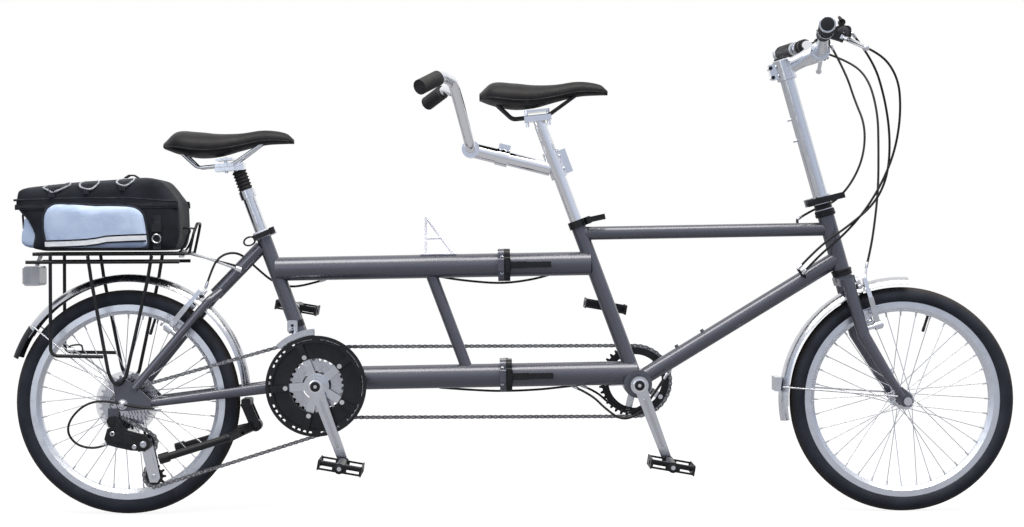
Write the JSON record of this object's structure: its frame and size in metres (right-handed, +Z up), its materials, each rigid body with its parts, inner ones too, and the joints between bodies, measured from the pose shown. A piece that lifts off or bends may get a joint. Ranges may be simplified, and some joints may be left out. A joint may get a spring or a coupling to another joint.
{
  "type": "folding tandem bicycle",
  "caption": "Two-seat bicycle with 20 inch wheels, an in-line folding twin-beam frame, triple chainset, timing chain, rack and trunk bag.",
  "frame": {"origin": "on the ground midway between the bicycle's two ends, on its centre plane", "axes": "+X forward, +Y to the riders' left, +Z up"},
  "size_m": [2.1462, 0.605, 1.0487],
  "materials": {
    "frame_paint": "satin metallic",
    "black_metal": "satin",
    "polished_alloy": "polished",
    "rim_alloy": "brushed",
    "spoke_steel": "bright",
    "chain_steel": "oiled",
    "tyre_rubber": "matte",
    "soft_black": "matte",
    "saddle_cover": "soft",
    "bag_fabric": "woven",
    "cable_housing": "smooth"
  },
  "bodies": {
    "rear_frame": {"stoker_seat_tube": "frame_paint", "rear_beams": "frame_paint", "rear_stays": "frame_paint", "rear_hinge_plates": "frame_paint", "rear_fittings": "black_metal", "rear_mudguard": "polished_alloy", "rear_rack": "black_metal", "rear_bag": "bag_fabric", "drive_chain": "chain_steel", "timing_chain": "chain_steel", "rear_derailleur": "black_metal"},
    "front_frame": {"captain_seat_tube": "frame_paint", "front_tubes": "frame_paint", "head_tube": "frame_paint", "front_fittings": "black_metal", "control_cables": "cable_housing"},
    "upper_latch": {"upper_latch_lever": "black_metal"},
    "lower_latch": {"lower_latch_lever": "black_metal"},
    "captain_seat_clamp": {"captain_seat_lever": "black_metal"},
    "stoker_seat_clamp": {"stoker_seat_lever": "black_metal"},
    "fork": {"fork": "frame_paint", "front_mudguard": "polished_alloy"},
    "front_wheel": {"front_tyre": "tyre_rubber", "front_rim": "rim_alloy", "front_hub_and_spokes": "spoke_steel"},
    "front_axle_clamp": {"front_axle_lever": "polished_alloy"},
    "front_brake_left": {"front_brake_arm_left": "polished_alloy"},
    "front_brake_right": {"front_brake_arm_right": "polished_alloy"},
    "riser": {"riser": "polished_alloy", "handlebar": "black_metal"},
    "riser_clamp": {"riser_lever": "black_metal"},
    "left_brake_lever": {"brake_lever_left": "polished_alloy"},
    "right_brake_lever": {"brake_lever_right": "polished_alloy"},
    "left_shifter": {"shift_lever_left": "black_metal"},
    "right_shifter": {"shift_lever_right": "black_metal"},
    "captain_post": {"captain_seatpost": "polished_alloy", "captain_saddle": "saddle_cover"},
    "stoker_bar": {"stoker_handlebar": "polished_alloy"},
    "stoker_post": {"stoker_seatpost": "polished_alloy"},
    "stoker_saddle": {"stoker_saddle": "saddle_cover", "stoker_saddle_frame": "polished_alloy", "suspension_boot": "soft_black"},
    "rear_wheel": {"rear_tyre": "tyre_rubber", "rear_rim": "rim_alloy", "rear_hub_and_spokes": "spoke_steel"},
    "cassette": {"cassette": "spoke_steel"},
    "stoker_crank": {"stoker_cranks": "polished_alloy", "chainrings": "black_metal"},
    "captain_crank": {"captain_cranks": "polished_alloy"},
    "stoker_pedal_right": {"stoker_pedal_right": "black_metal"},
    "stoker_pedal_left": {"stoker_pedal_left": "black_metal"},
    "captain_pedal_right": {"captain_pedal_right": "black_metal"},
    "captain_pedal_left": {"captain_pedal_left": "black_metal"},
    "rear_brake_left": {"rear_brake_arm_left": "polished_alloy"},
    "rear_brake_right": {"rear_brake_arm_right": "polished_alloy"},
    "kickstand": {"kickstand": "black_metal"},
    "derailleur_cage": {"derailleur_cage": "polished_alloy"},
    "guide_pulley": {"guide_pulley": "black_metal"},
    "tension_pulley": {"tension_pulley": "black_metal"},
    "front_derailleur": {"front_derailleur": "polished_alloy"}
  },
  "joints": [
    {"name": "frame_fold", "type": "hinge", "parent": "rear_frame", "child": "front_frame", "pos_m": [-0.016, 0.038, 0.2939], "axis": [-0.0148, 0, 0.9999], "range_deg": [0, 120], "deforming": ["timing_chain"]},
    {"name": "upper_latch_open", "type": "hinge", "parent": "front_frame", "child": "upper_latch", "pos_m": [-0.01151, -0.048, 0.53082], "axis": [0.0148, 0, -0.9999], "range_deg": [0, 110]},
    {"name": "lower_latch_open", "type": "hinge", "parent": "front_frame", "child": "lower_latch", "pos_m": [-0.008, -0.048, 0.29402], "axis": [0.0148, 0, -0.9999], "range_deg": [0, 110]},
    {"name": "steering", "type": "hinge", "parent": "front_frame", "child": "fork", "pos_m": [0.6799, 0, 0.607], "axis": [-0.2689, 0, 0.9632], "range_deg": [-60, 60], "deforming": ["control_cables"]},
    {"name": "riser_height", "type": "slide", "parent": "fork", "child": "riser", "axis": [-0.2689, 0, 0.9632], "range_m": [0, 0.05]},
    {"name": "riser_lever_open", "type": "hinge", "parent": "riser", "child": "riser_clamp", "pos_m": [0.6348, -0.031, 0.6607], "axis": [0.2689, 0, -0.9632], "range_deg": [0, 150]},
    {"name": "captain_seat_lever_open", "type": "hinge", "parent": "front_frame", "child": "captain_seat_clamp", "pos_m": [0.16169, -0.0206, 0.62639], "axis": [0.3469, 0, -0.9379], "range_deg": [0, 150]},
    {"name": "stoker_seat_lever_open", "type": "hinge", "parent": "rear_frame", "child": "stoker_seat_clamp", "pos_m": [-0.51502, -0.0206, 0.6067], "axis": [-0.3469, 0, 0.9379], "range_deg": [0, 150]},
    {"name": "captain_seat_height", "type": "slide", "parent": "front_frame", "child": "captain_post", "axis": [-0.3469, 0, 0.9379], "range_m": [-0.08, 0.1]},
    {"name": "stoker_seat_height", "type": "slide", "parent": "rear_frame", "child": "stoker_post", "axis": [-0.3469, 0, 0.9379], "range_m": [-0.06, 0.08]},
    {"name": "seat_suspension", "type": "slide", "parent": "stoker_post", "child": "stoker_saddle", "axis": [0.3469, 0, -0.9379], "range_m": [0, 0.03], "stiffness_N_per_m": 12000, "springref_m": -0.008, "deforming": ["suspension_boot"]},
    {"name": "stoker_stem_length", "type": "slide", "parent": "captain_post", "child": "stoker_bar", "axis": [-0.9698, 0, 0.2439], "range_m": [0, 0.04]},
    {"name": "front_wheel_spin", "type": "hinge", "parent": "fork", "child": "front_wheel", "pos_m": [0.833, 0, 0.24], "axis": [0, 1, 0], "continuous": true},
    {"name": "front_axle_lever_open", "type": "hinge", "parent": "fork", "child": "front_axle_clamp", "pos_m": [0.833, 0.075, 0.24], "axis": [-1, 0, 0], "range_deg": [0, 165]},
    {"name": "rear_wheel_spin", "type": "hinge", "parent": "rear_frame", "child": "rear_wheel", "pos_m": [-0.827, 0, 0.24], "axis": [0, 1, 0], "continuous": true},
    {"name": "stoker_crank_spin", "type": "hinge", "parent": "rear_frame", "child": "stoker_crank", "pos_m": [-0.419, 0, 0.2765], "axis": [0, 1, 0], "continuous": true},
    {"name": "captain_crank_spin", "type": "hinge", "parent": "front_frame", "child": "captain_crank", "pos_m": [0.265, 0, 0.2765], "axis": [0, 1, 0], "continuous": true},
    {"name": "cassette_spin", "type": "hinge", "parent": "rear_frame", "child": "cassette", "pos_m": [-0.827, 0, 0.24], "axis": [0, 1, 0], "continuous": true},
    {"name": "stoker_pedal_right_spin", "type": "hinge", "parent": "stoker_crank", "child": "stoker_pedal_right", "pos_m": [-0.36002, 0, 0.11706], "axis": [0, 1, 0], "continuous": true},
    {"name": "stoker_pedal_left_spin", "type": "hinge", "parent": "stoker_crank", "child": "stoker_pedal_left", "pos_m": [-0.47798, 0, 0.43594], "axis": [0, 1, 0], "continuous": true},
    {"name": "captain_pedal_right_spin", "type": "hinge", "parent": "captain_crank", "child": "captain_pedal_right", "pos_m": [0.32398, 0, 0.11706], "axis": [0, 1, 0], "continuous": true},
    {"name": "captain_pedal_left_spin", "type": "hinge", "parent": "captain_crank", "child": "captain_pedal_left", "pos_m": [0.20602, 0, 0.43594], "axis": [0, 1, 0], "continuous": true},
    {"name": "derailleur_cage_swing", "type": "hinge", "parent": "rear_frame", "child": "derailleur_cage", "pos_m": [-0.78, -0.052, 0.1575], "axis": [0, -1, 0], "range_deg": [-12, 20], "stiffness_Nm_per_rad": 1, "deforming": ["drive_chain"]},
    {"name": "guide_pulley_spin", "type": "hinge", "parent": "derailleur_cage", "child": "guide_pulley", "pos_m": [-0.78, -0.052, 0.1575], "axis": [0, 1, 0], "continuous": true},
    {"name": "tension_pulley_spin", "type": "hinge", "parent": "derailleur_cage", "child": "tension_pulley", "pos_m": [-0.7627, -0.052, 0.0866], "axis": [0, 1, 0], "continuous": true},
    {"name": "front_derailleur_shift", "type": "slide", "parent": "rear_frame", "child": "front_derailleur", "axis": [0, 1, 0], "range_m": [0, 0.004], "stiffness_N_per_m": 400, "springref_m": -0.004},
    {"name": "kickstand_swing", "type": "hinge", "parent": "rear_frame", "child": "kickstand", "pos_m": [-0.553, 0, 0.189], "axis": [0, -1, 0], "range_deg": [0, 86], "stiffness_Nm_per_rad": 1, "springref_deg": -68.75},
    {"name": "left_brake_lever_pull", "type": "hinge", "parent": "riser", "child": "left_brake_lever", "pos_m": [0.68, 0.142, 1.002], "axis": [0.4795, 0, 0.8776], "range_deg": [0, 18], "stiffness_Nm_per_rad": 2, "springref_deg": -8.59},
    {"name": "left_shifter_press", "type": "hinge", "parent": "riser", "child": "left_shifter", "pos_m": [0.685, 0.119, 1.0352], "axis": [0, 1, 0], "range_deg": [0, 20], "stiffness_Nm_per_rad": 0.5, "springref_deg": -11.46},
    {"name": "right_brake_lever_pull", "type": "hinge", "parent": "riser", "child": "right_brake_lever", "pos_m": [0.68, -0.142, 1.002], "axis": [-0.4795, 0, -0.8776], "range_deg": [0, 18], "stiffness_Nm_per_rad": 2, "springref_deg": -8.59},
    {"name": "right_shifter_press", "type": "hinge", "parent": "riser", "child": "right_shifter", "pos_m": [0.685, -0.119, 1.0352], "axis": [0, 1, 0], "range_deg": [0, 20], "stiffness_Nm_per_rad": 0.5, "springref_deg": -11.46},
    {"name": "front_brake_left_squeeze", "type": "hinge", "parent": "fork", "child": "front_brake_left", "pos_m": [0.77467, 0.044, 0.40018], "axis": [0.9632, 0, 0.2689], "range_deg": [0, 3]},
    {"name": "rear_brake_left_squeeze", "type": "hinge", "parent": "rear_frame", "child": "rear_brake_left", "pos_m": [-0.73298, 0.045, 0.39864], "axis": [0.7683, 0, -0.6401], "range_deg": [0, 3]},
    {"name": "front_brake_right_squeeze", "type": "hinge", "parent": "fork", "child": "front_brake_right", "pos_m": [0.77467, -0.044, 0.40018], "axis": [-0.9632, 0, -0.2689], "range_deg": [0, 3]},
    {"name": "rear_brake_right_squeeze", "type": "hinge", "parent": "rear_frame", "child": "rear_brake_right", "pos_m": [-0.73298, -0.045, 0.39864], "axis": [-0.7683, 0, 0.6401], "range_deg": [0, 3]}
  ],
  "couplings": [
    {"joint": "captain_crank_spin", "follows": "stoker_crank_spin", "ratio": 1},
    {"joint": "cassette_spin", "follows": "stoker_crank_spin", "ratio": 3.8462},
    {"joint": "guide_pulley_spin", "follows": "stoker_crank_spin", "ratio": -4.5455},
    {"joint": "tension_pulley_spin", "follows": "stoker_crank_spin", "ratio": 4.5455},
    {"joint": "front_brake_left_squeeze", "follows": "left_brake_lever_pull", "ratio": 0.16667},
    {"joint": "rear_brake_left_squeeze", "follows": "right_brake_lever_pull", "ratio": 0.16667},
    {"joint": "front_brake_right_squeeze", "follows": "left_brake_lever_pull", "ratio": 0.16667},
    {"joint": "rear_brake_right_squeeze", "follows": "right_brake_lever_pull", "ratio": 0.16667}
  ]
}
